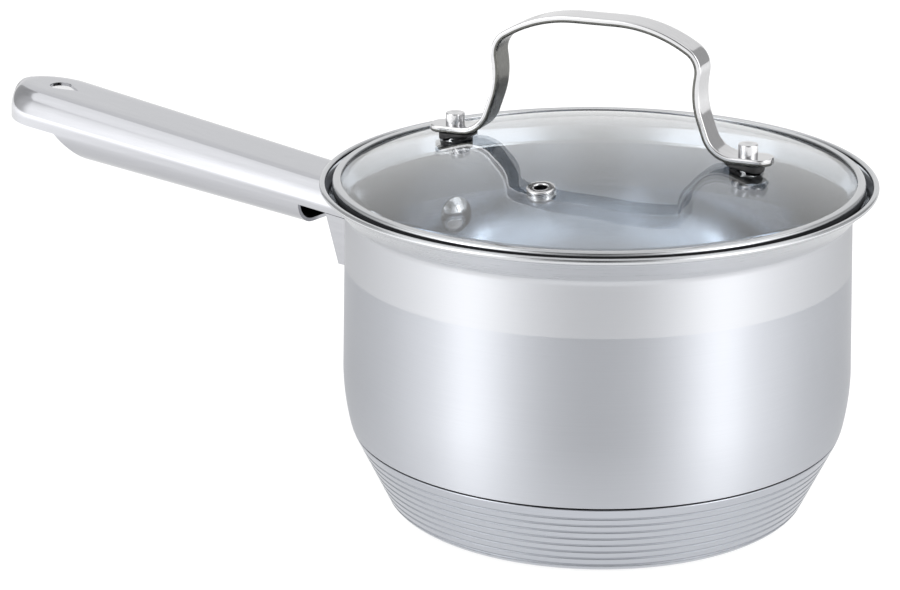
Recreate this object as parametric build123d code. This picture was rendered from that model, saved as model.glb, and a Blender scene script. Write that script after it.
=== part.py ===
from build123d import *
import os
from math import asin, atan2, cos, degrees, radians, sin, sqrt, tan

# A saucepan with a flared rim, a ringed capsule base, a riveted hollow handle and a domed glass lid.
# Millimetres. The origin is the centre of the base's underside, +Z is up, the handle points along -X.

# Pan
rim_radius = 88.5        # outermost edge of the rolled rim
pan_height = 107.0       # table to the top of the rolled rim
wall = 0.8               # sheet of the pan
bead_radius = 1.0        # rolled edge of the rim
flare_width = 8.0        # rim edge to the wall below the flare
flare_angle = 41.0       # flare of the rim, from the vertical
belly_swell = 1.4        # how far the belly stands out past the wall below the flare
belly_height = 45.0      # height of the widest part of the belly
corner_radius = 34.4     # rounded corner between floor and wall, outside
spreader_thickness = 6.0
floor_node_rise = 2.5    # seam to the plane that parts the pan's floor from its wall, for collision

# Base cap
seam_height = 25.8       # height of the seam between the pan and its base cap
seam_gap = 0.6           # open line at the seam
cap_wall = 1.0           # sheet of the cap
cap_fit = 0.3            # room between the cap and the pan inside it
base_taper = 12.4        # how far the cap draws in from the seam to the table
base_edge = 4.0          # rounded edge of the cap at the table
ring_count = 8
ring_top = 21.6          # height of the uppermost ring groove
ring_pitch = 2.7
ring_radius = 0.55       # groove section
ring_depth = 0.4

# Handle
handle_reach = 261.8     # pan axis to the handle's tip
handle_tilt = 3.6        # rise of the handle, in degrees
handle_drop = 27.4       # rim to the handle's axis, at the wall
handle_sheet = 1.2
root_width, root_height, root_corner = 29.0, 17.0, 7.5
grip_width, grip_height, grip_corner = 33.5, 21.4, 9.0
nose_length = 20.0       # rounded end of the handle, half an ellipse from above
nose_power = 9.0         # how square the nose is from the side, where 2 is an ellipse
nose_steps = 8
nose_sweep = 86.0        # how far round the nose its last section stands, in degrees
corner_room = 0.95       # most of a section's half that its corner may take
hole_radius = 4.0        # teardrop hanging hole, round end
hole_length = 13.0
hole_inset = 20.3        # tip to the centre of the round end
tip_cut_start = 44.8     # underside cut at the tip: where it starts, from the tip
tip_cut_knee = 32.3      # where it reaches its full depth, from the tip
tip_cut_rise = 1.5       # axis to the cut's edge
root_cut_length = 33.2   # underside cut at the root: length from the wall
root_cut_rise = 0.9      # axis to the cut's edge

# Handle bracket and rivets
saddle_width = 62.0
saddle_height = 36.0
saddle_thickness = 2.0
saddle_corner = 12.0
saddle_fit = 0.1         # room between the saddle and the wall
stub_length = 32.0
bracket_sheet = 2.0      # sheet of the stub and the apron
stub_fit = 0.25          # room between the stub and the handle shell
stub_rise = 0.3          # axis to the stub's lower edge
apron_out = 21.8         # wall below the flare to the front of the bracket's apron, under the handle
apron_foot_out = 16.5    # the same at the apron's foot
apron_height = 16.8      # handle's axis at the wall to the apron's foot
apron_width = 28.0
apron_gap = 0.4          # apron to the handle shell above it
weld_gap = 0.2           # handle shell to the saddle
rivet_spread = 25.3      # handle axis to each rivet
rivet_drop = 30.0        # rim to the rivets
rivet_shank = 2.4
shank_fit = 0.1          # room round the shank of a rivet or a screw
rivet_head, rivet_head_height = 6.0, 3.2
rivet_tail, rivet_tail_height = 4.4, 1.8
rivet_seat = 0.25        # room under the flat of a head on the curved wall

# Lid
lid_turn = 14.0          # strap against the handle's axis, in degrees
lid_clearance = 0.3      # band to the flare it rests on
band_inset = 4.2         # rim edge to the band
band_sheet = 0.7
band_fold = 2.6          # how far the band reaches over the glass
glass_edge = 2.8         # thickness of the glass in the band
glass_thickness = 3.4    # thickness at the crown
glass_fit = 0.1          # room around the glass
glass_flat = 0.6         # flat of the glass inside the band
dome_height = 12.6

# Strap on the lid
strap_width = 10.0
strap_thickness = 2.2
strap_rise = 39.9        # foot to crown
screw_spread = 49.5      # lid axis to each screw
foot_end = 8.0           # screw to the end of a foot
bend_inset = 10.4        # screw inward to the bend at a foot
waist_inset, waist_rise = 16.6, 17.7
shoulder_inset, shoulder_rise = 14.8, 30.6
crown_inset = 30.5       # screw inward to the corner of the crown
bend_radius = 9.8
waist_radius = 26.0
shoulder_radius = 7.5
crown_radius = 44.0     # as large as the crown has room for, up to this
crown_room = 0.95        # share of the crown that its bend may take
foot_corner = 4.0

# Fasteners and seals of the strap
pad_length, pad_width, pad_thickness = 12.4, 9.2, 2.0
pad_shift = 1.0          # how far the pad sits inward of its screw
screw_radius = 2.0
screw_head, screw_head_height = 4.0, 2.0
nut_radius, nut_height = 3.1, 3.8
nut_wall = 1.2           # closed end of the nut
nut_edge = 0.4
thread_fit = 0.05
screw_end_gap = 0.2
seal_radius = 6.0
seal_fit = 0.05          # room between rubber and glass
seal_lip = 0.8           # least thickness of a seal
glass_hole = 3.6         # hole in the glass for a screw
washer_radius = 5.4
washer_thickness = 0.8

# Steam vent
vent_spread = 48.0       # lid axis to the vent
vent_bore = 2.1
vent_barrel = 2.9
vent_flange, vent_flange_height = 4.4, 0.95
vent_edge = 0.3
vent_hole = 4.0          # hole in the glass
vent_fit = 0.1
vent_washer_radius, vent_washer_thickness = 4.6, 0.6
vent_lip, vent_lip_height = 3.8, 0.7

# Worked out from the sizes above: pan
flare = radians(flare_angle)
neck_radius = rim_radius - flare_width
belly_radius = neck_radius + belly_swell
floor_height = cap_wall + spreader_thickness
corner_centre = (belly_radius - corner_radius, floor_height + corner_radius)
bead_centre = (rim_radius - bead_radius, pan_height - bead_radius)
flare_run = bead_centre[0] - neck_radius + wall / 2 * cos(flare)
flare_height = bead_centre[1] - wall / 2 * sin(flare) - flare_run / tan(flare)


def corner_radius_at(height):
    """Outer radius of the pan's rounded corner at a height."""
    return corner_centre[0] + sqrt(corner_radius**2 - (corner_centre[1] - height)**2)


# The pan steps in at the seam by the thickness of the cap, so that both are flush outside.
cap_lean = atan2(base_taper, seam_height)
step_radius = corner_radius_at(seam_height)
seam_radius = step_radius + cap_fit + cap_wall / cos(cap_lean)
base_radius = seam_radius - base_taper
cap_top = seam_height - seam_gap


def wall_radius(height):
    """Outer radius of the pan's straight wall at a height."""
    share = (height - belly_height) / (flare_height - belly_height)
    return belly_radius + share * (neck_radius - belly_radius)


# Worked out: handle
tilt = radians(handle_tilt)
axis_height = pan_height - handle_drop
saddle_face = wall_radius(axis_height) + saddle_fit + saddle_thickness
rivet_height = pan_height - rivet_drop
rivet_angle = degrees(asin(rivet_spread / wall_radius(rivet_height)))

# Worked out: lid, from the height of its band upward
band_radius = rim_radius - band_inset
flare_reach = band_radius - neck_radius + wall * cos(flare)
flare_inside = flare_height + wall * sin(flare) + flare_reach / tan(flare)
band_low = flare_inside + lid_clearance / sin(flare)
band_height = glass_edge + 2 * (band_sheet + glass_fit)
glass_radius = band_radius - band_sheet - glass_fit
edge_low = band_low + band_sheet + glass_fit
edge_high = edge_low + glass_edge
dome_radius = band_radius - band_fold - glass_flat
crown_high = edge_high + dome_height
crown_low = crown_high - glass_thickness
hollow_height = crown_low - edge_low
sphere_high = (dome_radius**2 + dome_height**2) / (2 * dome_height)
sphere_low = (dome_radius**2 + hollow_height**2) / (2 * hollow_height)


def glass_high(radius):
    """Height of the top of the glass at a radius."""
    return crown_high - sphere_high + sqrt(sphere_high**2 - radius**2)


def glass_low(radius):
    """Height of the underside of the glass at a radius."""
    return crown_low - sphere_low + sqrt(sphere_low**2 - radius**2)


foot_low = glass_high(screw_spread) + pad_thickness
foot_high = foot_low + strap_thickness
seal_low = glass_low(screw_spread + seal_radius) - seal_lip
washer_low = seal_low - washer_thickness


def turned(outline):
    """Solid of revolution about Z, from an outline of radius and height."""
    return revolve(Plane.XZ * outline, Axis.Z)


def block(*points):
    """Closed polygon face of radius and height points."""
    return make_face(Polyline(*points, close=True))


def button(radius, height):
    """Domed head with its flat at Z = 0, pointing up."""
    sphere = (radius**2 + height**2) / (2 * height)
    side = RadiusArc((radius, 0), (0, height), -sphere)
    return turned(make_face([Line((0, 0), (radius, 0)), side, Line((0, height), (0, 0))]))


def rod(radius, low, high):
    """Upright cylinder between two heights."""
    return Pos(0, 0, (low + high) / 2) * Cylinder(radius, high - low)


def tube(outer, inner, low, high):
    """Upright tube between two heights."""
    return rod(outer, low, high) - rod(inner, low, high)


def make_pan():
    """Drawn pan with its flared rim and the holes for the rivets."""
    top = pan_height + flare_width
    overshoot = (top - flare_height) * tan(flare)
    lip_radius = bead_centre[0] + wall / 2 * cos(flare)
    lip_height = flare_height + (lip_radius - neck_radius) / tan(flare)
    belly_drop = belly_height - seam_height
    belly_draw = belly_radius - seam_radius
    belly_arc = (belly_drop**2 + belly_draw**2) / (2 * belly_draw)
    arc_turn = (corner_centre[1] - seam_height) / corner_radius
    middle = (asin(arc_turn) + radians(90)) / 2
    corner_middle = (
        corner_centre[0] + corner_radius * cos(middle),
        corner_centre[1] - corner_radius * sin(middle),
    )
    outside = make_face([
        Line((0, floor_height), (corner_centre[0], floor_height)),
        ThreePointArc((corner_centre[0], floor_height), corner_middle, (step_radius, seam_height)),
        Line((step_radius, seam_height), (seam_radius, seam_height)),
        RadiusArc((seam_radius, seam_height), (belly_radius, belly_height), -belly_arc),
        Line((belly_radius, belly_height), (neck_radius, flare_height)),
        Line((neck_radius, flare_height), (lip_radius, lip_height)),
        Line((lip_radius, lip_height), (0, lip_height)),
        Line((0, lip_height), (0, floor_height)),
    ])
    inner_corner = corner_radius - wall
    inner_wall = corner_centre[0] + inner_corner
    inner_neck = (neck_radius - wall, flare_height + wall * tan(flare / 2))
    inner_top = (inner_neck[0] + overshoot, inner_neck[1] + overshoot / tan(flare))
    inner_floor = floor_height + wall
    inside = make_face([
        Line((0, inner_floor), (corner_centre[0], inner_floor)),
        RadiusArc((corner_centre[0], inner_floor), (inner_wall, corner_centre[1]), -inner_corner),
        Line((inner_wall, corner_centre[1]), inner_neck),
        Line(inner_neck, inner_top),
        Line(inner_top, (0, inner_top[1])),
        Line((0, inner_top[1]), (0, inner_floor)),
    ])
    bead = Pos(*bead_centre) * Circle(bead_radius)
    pan = turned(outside - inside + bead)
    return pan - [rivet_hole(side) for side in (1, -1)]


def make_pan_parts():
    """The one-piece pan as two nodes, wall and floor, so that each keeps an open inside."""
    pan = make_pan()
    parting = Plane((0, 0, seam_height + floor_node_rise))
    return split(pan, parting, keep=Keep.TOP), split(pan, parting, keep=Keep.BOTTOM)


def make_base_cap():
    """Conical cap of the base, with rings round its side."""
    inner_edge = base_edge - cap_wall
    slant = cap_wall / cos(cap_lean)
    lean = tan(cap_lean)
    rim_outside = base_radius + cap_top * lean
    foot_inside = base_radius - slant + cap_wall * lean
    side = FilletPolyline((0, 0), (base_radius, 0), (rim_outside, cap_top), radius=base_edge)
    outside = make_face([side, Line((rim_outside, cap_top), (0, cap_top)), Line((0, cap_top), (0, 0))])
    over = cap_top + cap_wall
    hollow_top = base_radius - slant + over * lean
    hollow_foot = (foot_inside, cap_wall)
    hollow_side = FilletPolyline((0, cap_wall), hollow_foot, (hollow_top, over), radius=inner_edge)
    hollow = make_face([hollow_side, Line((hollow_top, over), (0, over)), Line((0, over), (0, cap_wall))])
    section = outside - hollow
    stand_off = ring_radius - ring_depth
    for ring in range(ring_count):
        height = ring_top - ring * ring_pitch
        radius = base_radius + height * lean + stand_off / cos(cap_lean)
        section -= Pos(radius, height) * Circle(ring_radius)
    return turned(section)


def make_heat_spreader():
    """Aluminium disc between the pan and its base cap."""
    return rod(base_radius - base_edge, cap_wall, floor_height)


def handle_plane(distance):
    """Plane across the handle, at a distance from the pan's axis, with its X along the row's Y."""
    height = axis_height + (distance - wall_radius(axis_height)) * tan(tilt)
    return Plane((-distance, 0, height), x_dir=(0, 1, 0), z_dir=(-cos(tilt), 0, sin(tilt)))


def handle_section(place, grip, inset, wide=1, tall=1):
    """Rounded section of the handle at a place, drawn in by inset and shrunk to shares."""
    width = wide * (root_width + grip * (grip_width - root_width) - 2 * inset)
    height = tall * (root_height + grip * (grip_height - root_height) - 2 * inset)
    corner = root_corner + grip * (grip_corner - root_corner) - inset
    corner = min(corner, corner_room * min(width, height) / 2)
    return handle_plane(place) * RectangleRounded(width, height, corner)


def handle_form(inset, start):
    """Solid of the handle's outline, drawn in by inset, with a rounded nose."""
    nose_start = handle_reach - nose_length
    sections = [
        handle_section(start, 0, inset),
        handle_section(saddle_face + stub_length, 0, inset),
        handle_section(nose_start, 1, inset),
    ]
    for step in range(1, nose_steps + 1):
        angle = radians(nose_sweep * step / nose_steps)
        place = nose_start + (nose_length - inset) * sin(angle)
        tall = (1 - sin(angle)**nose_power)**(1 / nose_power)
        sections.append(handle_section(place, 1, inset, cos(angle), tall))
    return loft(sections, ruled=True)


def side_cut(points):
    """Prism across the handle, cut from distance and height-from-the-axis points."""
    corners = [handle_plane(place).origin + Vector(0, 0, rise) for place, rise in points]
    outline = make_face(Polyline(*corners, close=True))
    return extrude(outline, grip_width, dir=(0, 1, 0), both=True)


def make_handle_shell():
    """Hollow handle, open below at both ends, with a hanging hole."""
    start = saddle_face - saddle_thickness
    shell = handle_form(0, start) - handle_form(handle_sheet, start - handle_sheet)
    low = -2 * grip_height
    shell -= side_cut([
        (handle_reach - tip_cut_start, -grip_height / 2),
        (handle_reach - tip_cut_knee, -tip_cut_rise),
        (handle_reach + nose_length, -tip_cut_rise),
        (handle_reach + nose_length, low),
        (handle_reach - tip_cut_start, low),
    ])
    root_end = wall_radius(axis_height) + root_cut_length
    shell -= side_cut([
        (0, -root_cut_rise),
        (root_end, -root_cut_rise),
        (root_end, low),
        (0, low),
    ])
    hole_centre = handle_reach - hole_inset
    point = hole_centre + hole_radius - hole_length
    turn = radians(90) - asin(hole_radius / (hole_centre - point))
    touch = (hole_centre - hole_radius * cos(turn), hole_radius * sin(turn))
    taper = make_face(Polyline((-point, 0), (-touch[0], touch[1]), (-touch[0], -touch[1]), close=True))
    outline = taper + Pos(-hole_centre, 0) * Circle(hole_radius)
    shell -= Pos(0, 0, axis_height) * extrude(outline, 2 * grip_height)
    return shell - saddle_body(saddle_thickness + weld_gap)


def saddle_body(thickness):
    """Solid of the wall's shape at the handle, out to a thickness past the saddle's seat."""
    low = axis_height - saddle_height
    high = axis_height + saddle_height / 2
    seat = saddle_fit + thickness
    foot = (wall_radius(low) + seat, low)
    head = (wall_radius(high) + seat, high)
    return turned(block((0, low), foot, head, (0, high)))


def rivet_axis(side, distance):
    """Plane on a rivet's axis at a distance from the pan's axis, facing outward."""
    angle = radians(180 + side * rivet_angle)
    outward = (cos(angle), sin(angle), 0)
    return Plane((distance * outward[0], distance * outward[1], rivet_height), z_dir=outward)


def rivet_hole(side):
    """Cutter for a rivet's hole, through the wall and the saddle."""
    return rivet_axis(side, neck_radius - rivet_head) * rod(rivet_shank + shank_fit, 0, 2 * rivet_head)


def apron_form(inset):
    """Prism under the handle's root, with its front and its sides drawn in by inset."""
    drop = Vector(0, 0, -root_cut_rise - apron_gap)
    low = axis_height - apron_height
    outline = make_face(Polyline(
        handle_plane(0).origin + drop,
        handle_plane(neck_radius + apron_out - inset).origin + drop,
        (inset - neck_radius - apron_foot_out, 0, low),
        (0, 0, low),
        close=True,
    ))
    return extrude(outline, apron_width / 2 - inset, dir=(0, 1, 0), both=True)


def make_bracket():
    """Saddle plate on the wall, with a stub in the handle and an apron under it."""
    plate = saddle_body(saddle_thickness) - saddle_body(0)
    face = Plane((0, 0, (axis_height + rivet_height) / 2), x_dir=(0, 1, 0), z_dir=(-1, 0, 0))
    plate &= extrude(face * RectangleRounded(saddle_width, saddle_height, saddle_corner), 2 * rim_radius)
    inset = handle_sheet + stub_fit
    bar = RectangleRounded(root_width - 2 * inset, root_height - 2 * inset, root_corner - inset)
    inset += bracket_sheet
    hollow = RectangleRounded(root_width - 2 * inset, root_height - 2 * inset, root_corner - inset)
    keep = Pos(0, stub_rise - root_height) * Rectangle(2 * root_width, 2 * root_height)
    arch = (bar - hollow) & keep
    stub = extrude(handle_plane(saddle_face - saddle_thickness / 2) * arch, stub_length)
    apron = apron_form(0) - apron_form(bracket_sheet)
    bracket = plate + (stub - saddle_body(0)) + (apron - saddle_body(0))
    return bracket - [rivet_hole(side) for side in (1, -1)]


def make_rivet(side):
    """Rivet with a domed head inside the pan and a low tail on the saddle."""
    inner_radius = wall_radius(rivet_height) - wall
    head_seat = sqrt(inner_radius**2 - rivet_head**2) - rivet_seat
    tail_seat = wall_radius(rivet_height) + saddle_fit + saddle_thickness + rivet_seat
    shank = rod(rivet_shank, 0, tail_seat - head_seat)
    head = Rot(180, 0, 0) * button(rivet_head, rivet_head_height)
    tail = Pos(0, 0, tail_seat - head_seat) * button(rivet_tail, rivet_tail_height)
    return rivet_axis(side, head_seat) * (shank + head + tail)


def on_lid(solid):
    """Turn a solid of the lid to where the lid sits on the pan."""
    return Rot(0, 0, lid_turn) * solid


def vent_plane():
    """Plane on the glass at the vent, facing out of the glass."""
    height = glass_high(vent_spread)
    normal = (0, -vent_spread, height - crown_high + sphere_high)
    return Plane((0, -vent_spread, height), z_dir=normal)


vent_depth = glass_high(vent_spread) - glass_low(vent_spread)


def make_glass():
    """Domed glass with holes for the two screws and the vent."""
    section = make_face([
        RadiusArc((0, crown_high), (dome_radius, edge_high), sphere_high),
        Line((dome_radius, edge_high), (glass_radius, edge_high)),
        Line((glass_radius, edge_high), (glass_radius, edge_low)),
        Line((glass_radius, edge_low), (dome_radius, edge_low)),
        RadiusArc((dome_radius, edge_low), (0, crown_low), -sphere_low),
        Line((0, crown_low), (0, crown_high)),
    ])
    glass = turned(section)
    for side in (1, -1):
        glass -= Pos(side * screw_spread, 0) * rod(glass_hole, edge_low, crown_high)
    return glass - vent_plane() * rod(vent_hole, -2 * glass_thickness, glass_thickness)


def make_band():
    """Steel band folded over both faces of the glass's edge."""
    band_high = band_low + band_height
    fold = band_radius - band_fold
    side = band_radius - band_sheet
    return turned(block(
        (fold, band_low),
        (band_radius, band_low),
        (band_radius, band_high),
        (fold, band_high),
        (fold, band_high - band_sheet),
        (side, band_high - band_sheet),
        (side, band_low + band_sheet),
        (fold, band_low + band_sheet),
    ))


def make_strap():
    """Bent flat strap, with its feet on the pads."""
    crown_half = screw_spread - crown_inset
    half = [
        (screw_spread + foot_end, 0),
        (screw_spread - bend_inset, 0),
        (screw_spread - waist_inset, waist_rise),
        (screw_spread - shoulder_inset, shoulder_rise),
        (crown_half, strap_rise),
    ]
    route = half + [(-across, rise) for across, rise in reversed(half)]
    crown_turn = atan2(strap_rise - shoulder_rise, crown_inset - shoulder_inset)
    crown_bend = min(crown_radius, crown_room * crown_half / tan(crown_turn / 2))
    bends = [bend_radius, waist_radius, shoulder_radius, crown_bend]
    centre = Plane.XZ * FilletPolyline(*route, radius=bends + bends[::-1])
    section = Plane((screw_spread + foot_end, 0, 0), x_dir=(0, 1, 0), z_dir=(-1, 0, 0))
    strap = sweep(section * Rectangle(strap_width, strap_thickness), path=centre)
    ends = [edge for edge in strap.edges().filter_by(Axis.Z) if abs(edge.center().X) > screw_spread]
    strap = Pos(0, 0, foot_low + strap_thickness / 2) * fillet(ends, foot_corner)
    for side in (1, -1):
        strap -= Pos(side * screw_spread, 0) * rod(screw_radius + shank_fit, foot_low - 1, foot_high + 1)
    return strap


def make_pad(side):
    """Rubber pad between a strap foot and the glass."""
    low = edge_high
    centre = side * (screw_spread - pad_shift)
    outline = Pos(centre, 0, low) * RectangleRounded(pad_length, pad_width, foot_corner)
    pad = extrude(outline, foot_low - low)
    pad -= Pos(0, 0, crown_high - sphere_high) * Sphere(sphere_high + seal_fit)
    return pad - Pos(side * screw_spread, 0) * rod(screw_radius + shank_fit, low, foot_low)


def make_seal(side):
    """Rubber shoulder washer under the glass, with a sleeve in the glass's hole."""
    flange = rod(seal_radius, seal_low, crown_low)
    sleeve = rod(glass_hole - glass_fit, seal_low, glass_high(screw_spread + glass_hole))
    flange = Pos(side * screw_spread, 0) * flange
    flange &= Pos(0, 0, crown_low - sphere_low) * Sphere(sphere_low - seal_fit)
    seal = flange + Pos(side * screw_spread, 0) * sleeve
    return seal - Pos(side * screw_spread, 0) * rod(screw_radius + shank_fit, seal_low, crown_high)


def make_washer(side):
    """Steel washer under a seal."""
    return Pos(side * screw_spread, 0) * tube(washer_radius, screw_radius + shank_fit, washer_low, seal_low)


def make_screw(side):
    """Screw from below, through the lid and into its nut."""
    shank = rod(screw_radius, washer_low, foot_high + nut_height - nut_wall - screw_end_gap)
    head = Pos(0, 0, washer_low) * Rot(180, 0, 0) * button(screw_head, screw_head_height)
    return Pos(side * screw_spread, 0) * (shank + head)


def make_nut(side):
    """Round barrel nut on top of a strap foot."""
    nut = rod(nut_radius, foot_high, foot_high + nut_height)
    nut = chamfer(nut.edges().sort_by(Axis.Z)[-1], nut_edge)
    bore = rod(screw_radius + thread_fit, foot_high, foot_high + nut_height - nut_wall)
    return Pos(side * screw_spread, 0) * (nut - bore)


def make_vent_eyelet():
    """Eyelet with a flange on the glass and a rolled lip under the washer."""
    flange = tube(vent_flange, vent_bore, vent_fit / 2, vent_fit / 2 + vent_flange_height)
    outer_edge = flange.edges().filter_by(GeomType.CIRCLE).group_by(Axis.Z)[-1].sort_by(SortBy.RADIUS)[-1]
    flange = fillet(outer_edge, vent_edge)
    lip_high = -vent_depth - 2 * vent_fit - vent_washer_thickness
    lip = tube(vent_lip, vent_bore, lip_high - vent_lip_height, lip_high)
    barrel = tube(vent_barrel, vent_bore, lip_high - vent_lip_height, vent_fit)
    return vent_plane() * (flange + barrel + lip)


def make_vent_gasket():
    """Sleeve between the eyelet and the glass."""
    return vent_plane() * tube(vent_hole - vent_fit, vent_barrel + vent_fit, -vent_depth, 0)


def make_vent_washer():
    """Washer under the glass that the eyelet is rolled over."""
    high = -vent_depth - vent_fit
    washer = tube(vent_washer_radius, vent_barrel + vent_fit, high - vent_washer_thickness, high)
    return vent_plane() * washer


os.makedirs("parts", exist_ok=True)

pan_wall, pan_floor = make_pan_parts()
pieces = {
    "pan_wall": pan_wall,
    "pan_floor": pan_floor,
    "heat_spreader": make_heat_spreader(),
    "base_cap": make_base_cap(),
    "handle_shell": make_handle_shell(),
    "handle_bracket": make_bracket(),
    "handle_rivet_front": make_rivet(1),
    "handle_rivet_rear": make_rivet(-1),
    "lid_glass": on_lid(make_glass()),
    "lid_rim_band": on_lid(make_band()),
    "lid_handle": on_lid(make_strap()),
    "vent_eyelet": on_lid(make_vent_eyelet()),
    "vent_gasket": on_lid(make_vent_gasket()),
    "vent_washer": on_lid(make_vent_washer()),
}
for place, side in (("left", -1), ("right", 1)):
    pieces[f"lid_pad_{place}"] = on_lid(make_pad(side))
    pieces[f"lid_seal_{place}"] = on_lid(make_seal(side))
    pieces[f"lid_washer_{place}"] = on_lid(make_washer(side))
    pieces[f"lid_screw_{place}"] = on_lid(make_screw(side))
    pieces[f"lid_nut_{place}"] = on_lid(make_nut(side))

for name, piece in pieces.items():
    export_step(piece, f"parts/{name}.step")
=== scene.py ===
from math import acos, asin, atan2, cos, pi, radians, sin, sqrt, tan

import bmesh
import bpy
from mathutils import Matrix, Vector


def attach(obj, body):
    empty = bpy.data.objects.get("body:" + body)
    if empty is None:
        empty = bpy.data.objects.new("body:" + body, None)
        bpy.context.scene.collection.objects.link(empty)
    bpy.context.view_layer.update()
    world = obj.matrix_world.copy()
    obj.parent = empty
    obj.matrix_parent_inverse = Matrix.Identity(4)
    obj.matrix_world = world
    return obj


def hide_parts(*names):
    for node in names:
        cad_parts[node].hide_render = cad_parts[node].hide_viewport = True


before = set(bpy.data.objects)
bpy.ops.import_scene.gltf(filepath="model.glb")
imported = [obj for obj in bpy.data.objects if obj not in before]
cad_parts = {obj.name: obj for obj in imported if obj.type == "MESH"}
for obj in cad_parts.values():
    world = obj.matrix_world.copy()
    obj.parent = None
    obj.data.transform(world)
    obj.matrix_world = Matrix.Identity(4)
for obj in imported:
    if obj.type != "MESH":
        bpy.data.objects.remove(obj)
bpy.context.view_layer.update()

# Sizes are in millimetres, as in the CAD, and become metres in the meshes.
MM = 0.001

# Pan
RIM_RADIUS = 88.5
PAN_HEIGHT = 107.0
WALL = 0.8
BEAD_RADIUS = 1.0
FLARE_WIDTH = 8.0
FLARE = radians(41.0)
BELLY_SWELL = 1.4
BELLY_HEIGHT = 45.0
CORNER_RADIUS = 34.4
FLOOR_HEIGHT = 7.0
NECK_BEND = 3.0          # rounding where the flare leaves the wall
INNER_BEND = 1.6         # the same on the inside
SATIN_TURN = radians(50.0)  # how far down the inside corner the floor's satin, lightened with painted light, starts
SATIN_TOP = 80.3         # height where the satin of the wall gives way to polish

# Base cap
SEAM_HEIGHT = 25.8
SEAM_GAP = 0.6
SEAM_EDGE = 0.35         # rounded edges at the seam
CAP_WALL = 1.0
CAP_FIT = 0.3
BASE_TAPER = 12.4
BASE_EDGE = 4.0
RING_COUNT = 8
RING_TOP = 21.6
RING_PITCH = 2.7
RING_RADIUS = 0.55
RING_DEPTH = 0.4

# Handle
HANDLE_REACH = 261.8
HANDLE_TILT = radians(3.6)
HANDLE_DROP = 27.4
HANDLE_SHEET = 1.2
LIT_LENGTH = 110.0       # painted light on the inside of the open tip over this length, painted shade further in
ROOT_SIZE = (29.0, 17.0, 7.5)
GRIP_SIZE = (33.5, 21.4, 9.0)
NOSE_LENGTH = 20.0
NOSE_POWER = 9.0
CORNER_ROOM = 0.95
HOLE_RADIUS = 4.0
HOLE_LENGTH = 13.0
HOLE_INSET = 20.3
TIP_CUT_START = 44.8
TIP_CUT_KNEE = 32.3
TIP_CUT_RISE = 1.5
ROOT_CUT_LENGTH = 33.2
ROOT_CUT_RISE = 0.9
SADDLE_THICKNESS = 2.0
SADDLE_FIT = 0.1
STUB_LENGTH = 32.0
WELD_GAP = 0.2

# Rivets
RIVET_SPREAD = 25.3
RIVET_DROP = 30.0
RIVET_SHANK = 2.4
RIVET_HEAD = (6.0, 3.2)
RIVET_TAIL = (4.4, 1.8)
RIVET_SEAT = 0.25

# Lid
LID_TURN = radians(14.0)
LID_CLEARANCE = 0.3
BAND_INSET = 4.2
BAND_SHEET = 0.7
BAND_FOLD = 2.6
BAND_EDGE = 1.0          # rounded outer edges of the band
FOLD_EDGE = 0.3          # rounded inner edges of the band
BAND_SHADE = 1.2         # painted shade on the lower part of the band's side, for the dark gap above the rim
GLASS_EDGE = 2.8
GLASS_THICKNESS = 3.4
GLASS_FIT = 0.1
GLASS_FLAT = 0.6
DOME_HEIGHT = 12.6

# Strap, its fasteners and its pads
STRAP_SIZE = (10.0, 2.2)
STRAP_EDGE = 0.55        # rounded long edges of the strap
STRAP_RISE = 39.9
SCREW_SPREAD = 49.5
FOOT_END = 8.0
BEND_INSET = 10.4
WAIST = (16.6, 17.7)
SHOULDER = (14.8, 30.6)
CROWN_INSET = 30.5
BENDS = (9.8, 26.0, 7.5, 44.0)
FOOT_CORNER = 4.0
PAD_SIZE = (12.4, 9.2)
PAD_THICKNESS = 2.0
PAD_SHIFT = 1.0
PAD_EDGE = 0.7
SEAL_FIT = 0.05
NUT_SIZE = (3.1, 3.8)
NUT_EDGE = 0.45
NUT_DIMPLE = (1.5, 0.35)
SCREW_RADIUS = 2.0
GLASS_HOLE = 3.6

# Steam vent
VENT_SPREAD = 48.0
VENT_BORE = 2.1
VENT_BARREL = 2.9
VENT_FLANGE = (4.4, 0.95)
VENT_EDGE = 0.4
VENT_HOLE = 4.0
VENT_FIT = 0.1
VENT_WASHER = 0.6
VENT_LIP = (3.8, 0.7)

# Mesh steps
TURN_STEPS = 256         # round the pan and the lid
SMALL_TURN_STEPS = 64    # round rivets, nuts and the vent
EDGE_STEPS = 4           # small rounded edges
ROUND_STEPS = 6          # folds and rounded tops
FLAT_STEPS = 6           # flat stretches of an outline
BEND_STEPS = 8           # bends of the sheet, and straight stretches of the wall
CURVE_STEPS = 12         # corners of the pan and of the handle, domed heads
FOOT_STEPS = 10          # rounded foot of the base, corners of the pads
BELLY_STEPS = 20
BEAD_STEPS = 28
RING_STEPS = 8           # each groove of the base
ROOT_STEPS = 4           # along the root of the handle
GRIP_STEPS = 12          # along its grip
NOSE_STEPS = 24          # round its nose
NOSE_TURN = radians(89.0)  # just short of a point
HOLE_STEPS = 32
DOME_STEPS = 40
STRAP_STEPS = 14         # each bend and each end of the strap
STRAP_FLAT_STEPS = 4     # along a foot of the strap
STRAP_EDGE_STEPS = 5     # each long edge of the strap
STRAP_FACE_STEPS = 8     # across the strap
ON_AXIS = 0.001          # a point nearer to the axis than this lies on it
SHARP_ANGLE = radians(38.0)

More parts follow.
